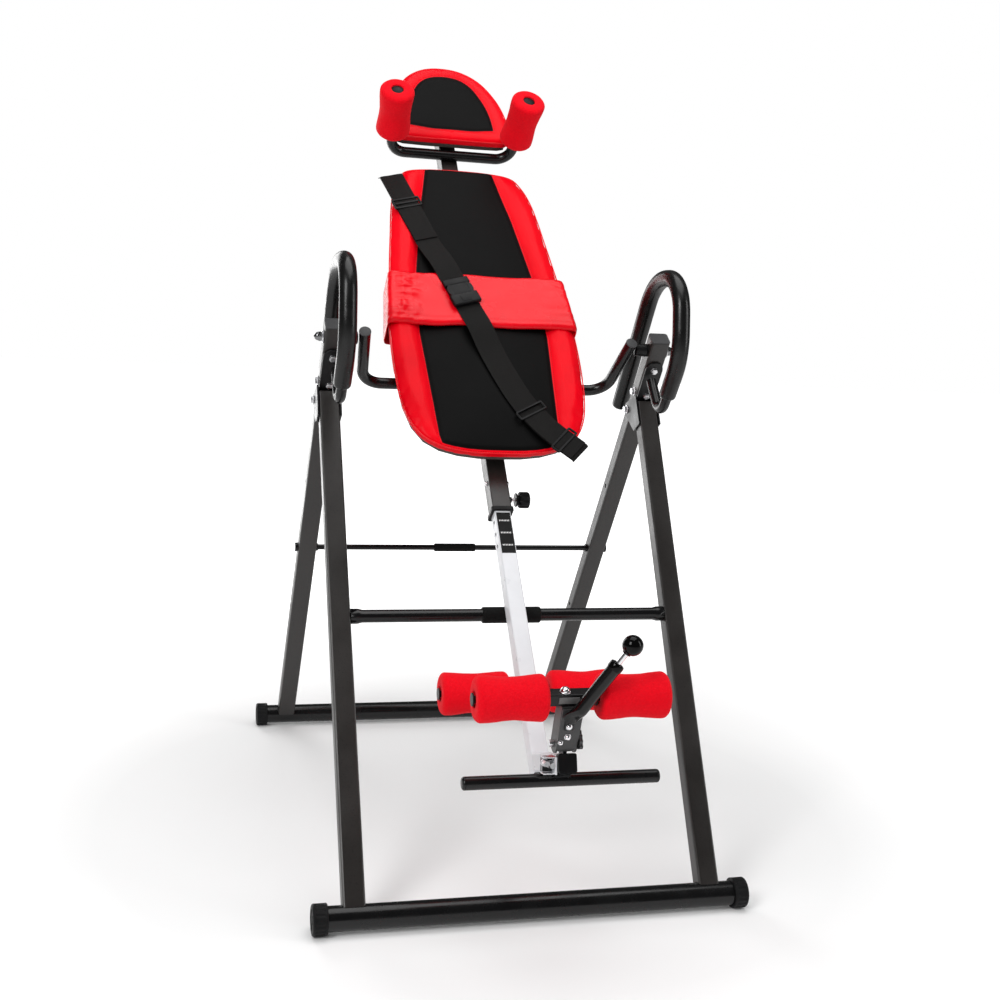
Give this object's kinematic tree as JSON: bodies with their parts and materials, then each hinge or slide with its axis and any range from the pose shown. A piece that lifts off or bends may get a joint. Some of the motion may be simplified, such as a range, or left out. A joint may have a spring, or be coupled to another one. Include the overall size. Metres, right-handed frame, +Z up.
{
  "type": "inversion table",
  "caption": "Folding inversion table: padded reclining bed with headrest grips and strap on a steel stand, sliding foot boom with foam ankle clamp.",
  "frame": {"origin": "on the floor, under the middle of the overall bounding box; the bed's pivot axis is 31.8 mm from it towards the foot end (y = -0.03185)", "axes": "+Z up; +X to the right of someone looking at the table from its foot end; the foot end points to -Y and the head end to +Y"},
  "size_m": [0.752, 1.2748, 1.4934],
  "materials": {
    "black_paint": "satin black powder coat with a fine speckle",
    "white_paint": "semi-gloss white paint",
    "grey_steel": "dark grey steel",
    "zinc": "bright zinc plate",
    "black_plastic": "moulded black plastic",
    "gloss_plastic": "polished black plastic",
    "black_foam": "closed-cell black foam",
    "red_foam": "fine red foam",
    "red_vinyl": "slightly glossy red vinyl",
    "webbing": "woven black webbing",
    "plywood": "black-stained plywood"
  },
  "bodies": {
    "rear_frame": {"rear_base_tube": "black_paint", "rear_rod": "black_paint", "rear_rod_sleeve": "black_foam", "rear_leg_left": "black_paint", "rear_leg_right": "black_paint", "rear_base_cap_left": "black_plastic", "rear_base_cap_right": "black_plastic", "rear_leg_cap_left": "black_plastic", "rear_leg_cap_right": "black_plastic", "handle_tube_left": "black_paint", "handle_tube_right": "black_paint", "handle_grip_left": "black_foam", "handle_grip_right": "black_foam", "handle_plate_left": "black_paint", "handle_plate_right": "black_paint", "hinge_bolt_left": "zinc", "hinge_bolt_right": "zinc", "lock_bolt_left": "zinc", "lock_bolt_right": "zinc", "pivot_bush_left": "black_plastic", "pivot_bush_right": "black_plastic"},
    "front_frame": {"front_base_tube": "black_paint", "front_crossbar": "black_paint", "crossbar_sleeve": "black_foam", "front_leg_left": "black_paint", "front_leg_right": "black_paint", "front_base_cap_left": "black_plastic", "front_base_cap_right": "black_plastic", "hinge_bracket_left": "black_paint", "hinge_bracket_right": "black_paint"},
    "bed": {"main_tube": "black_paint", "main_tube_collar": "black_plastic", "cradle_tube": "black_paint", "backrest_board": "plywood", "backrest_cushion": "red_vinyl", "headrest_board": "plywood", "headrest_cushion": "red_vinyl", "lumbar_pad": "red_vinyl", "safety_strap": "webbing", "head_bar": "black_paint", "selector_housing": "zinc", "pivot_pin_left": "zinc", "pivot_pin_right": "zinc", "head_roller_left": "red_foam", "head_roller_right": "red_foam"},
    "selector": {"selector_knob": "black_plastic"},
    "boom": {"boom": "white_paint", "rear_ankle_shaft": "black_paint", "foot_post": "white_paint", "foot_post_cap": "black_plastic", "foot_bar": "black_paint", "ratchet_plate": "grey_steel"},
    "ankle_arm": {"ankle_arm": "grey_steel", "front_ankle_bar": "black_paint", "ankle_lever": "grey_steel"},
    "release": {"release_rod": "gloss_plastic"},
    "rear_roller_left": {"rear_ankle_roller_left": "red_foam"},
    "rear_roller_right": {"rear_ankle_roller_right": "red_foam"},
    "front_roller_left": {"front_ankle_roller_left": "red_foam"},
    "front_roller_right": {"front_ankle_roller_right": "red_foam"}
  },
  "joints": [
    {"name": "front_fold", "type": "hinge", "parent": "rear_frame", "child": "front_frame", "pos_m": [0, 0.04878, 0.7869], "axis": [-1, 0, 0], "range_deg": [-64, 0]},
    {"name": "inversion", "type": "hinge", "parent": "rear_frame", "child": "bed", "pos_m": [0, -0.03185, 0.905], "axis": [-1, 0, 0], "range_deg": [0, 82]},
    {"name": "boom_slide", "type": "slide", "parent": "bed", "child": "boom", "axis": [0, -0.6782, -0.7349], "range_m": [-0.1, 0.15]},
    {"name": "selector_pull", "type": "slide", "parent": "bed", "child": "selector", "axis": [1, 0, 0], "range_m": [-0.0065, 0.004]},
    {"name": "ankle_clamp", "type": "hinge", "parent": "boom", "child": "ankle_arm", "pos_m": [0, -0.54936, 0.32841], "axis": [-1, 0, 0], "range_deg": [-15, 50]},
    {"name": "release_pull", "type": "slide", "parent": "ankle_arm", "child": "release", "axis": [0.5248, -0.1949, 0.8286], "range_m": [0, 0.01]},
    {"name": "rear_roller_turn_left", "type": "hinge", "parent": "boom", "child": "rear_roller_left", "pos_m": [0, -0.33981, 0.34418], "axis": [1, 0, 0], "continuous": true},
    {"name": "front_roller_turn_left", "type": "hinge", "parent": "ankle_arm", "child": "front_roller_left", "pos_m": [0, -0.57306, 0.40691], "axis": [1, 0, 0], "continuous": true},
    {"name": "rear_roller_turn_right", "type": "hinge", "parent": "boom", "child": "rear_roller_right", "pos_m": [0, -0.33981, 0.34418], "axis": [1, 0, 0], "continuous": true},
    {"name": "front_roller_turn_right", "type": "hinge", "parent": "ankle_arm", "child": "front_roller_right", "pos_m": [0, -0.57306, 0.40691], "axis": [1, 0, 0], "continuous": true}
  ]
}
